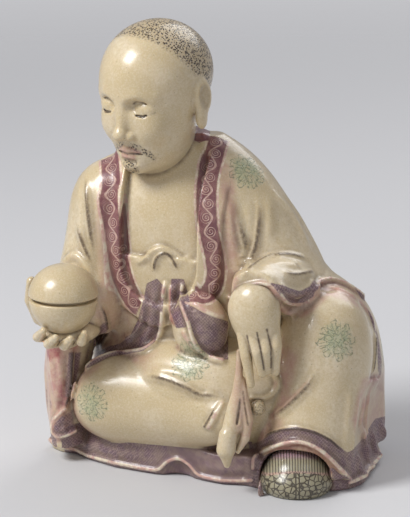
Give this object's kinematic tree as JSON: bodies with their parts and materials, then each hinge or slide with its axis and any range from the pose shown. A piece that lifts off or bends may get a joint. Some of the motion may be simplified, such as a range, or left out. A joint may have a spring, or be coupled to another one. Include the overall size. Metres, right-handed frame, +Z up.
{
  "type": "seated figure carving",
  "caption": "Seated monk in a loose robe holding a covered bowl, one knee raised, carved in tinted soapstone with a flat underside.",
  "frame": {"origin": "on the flat underside, under the middle of the figure's base", "axes": "+Z up, the figure faces -Y, +X is the figure's own left"},
  "size_m": [0.0894, 0.063, 0.1191],
  "materials": {
    "skin_stone": "polished waxy cream soapstone",
    "robe_stone": "polished waxy cream soapstone with rubbed red tint in the folds",
    "band_stone": "soapstone engraved and tinted crimson",
    "hem_stone": "soapstone hatched and tinted purple",
    "shoe_stone": "soapstone engraved and tinted grey green"
  },
  "bodies": {
    "root": {"hem": "hem_stone", "robe": "robe_stone", "chest": "skin_stone", "waist_cloth": "skin_stone", "right_band": "band_stone", "left_band": "band_stone", "collar": "band_stone", "head": "skin_stone", "right_sleeve": "robe_stone", "sleeve_fall": "robe_stone", "right_hand": "skin_stone", "bowl": "skin_stone", "bowl_lid": "skin_stone", "left_sleeve": "robe_stone", "cuff": "robe_stone", "drape": "robe_stone", "left_hand": "skin_stone", "left_leg": "robe_stone", "right_leg": "robe_stone", "shoe": "shoe_stone", "lap": "robe_stone", "swag": "hem_stone", "pendant": "skin_stone", "knot": "shoe_stone"}
  },
  "joints": []
}
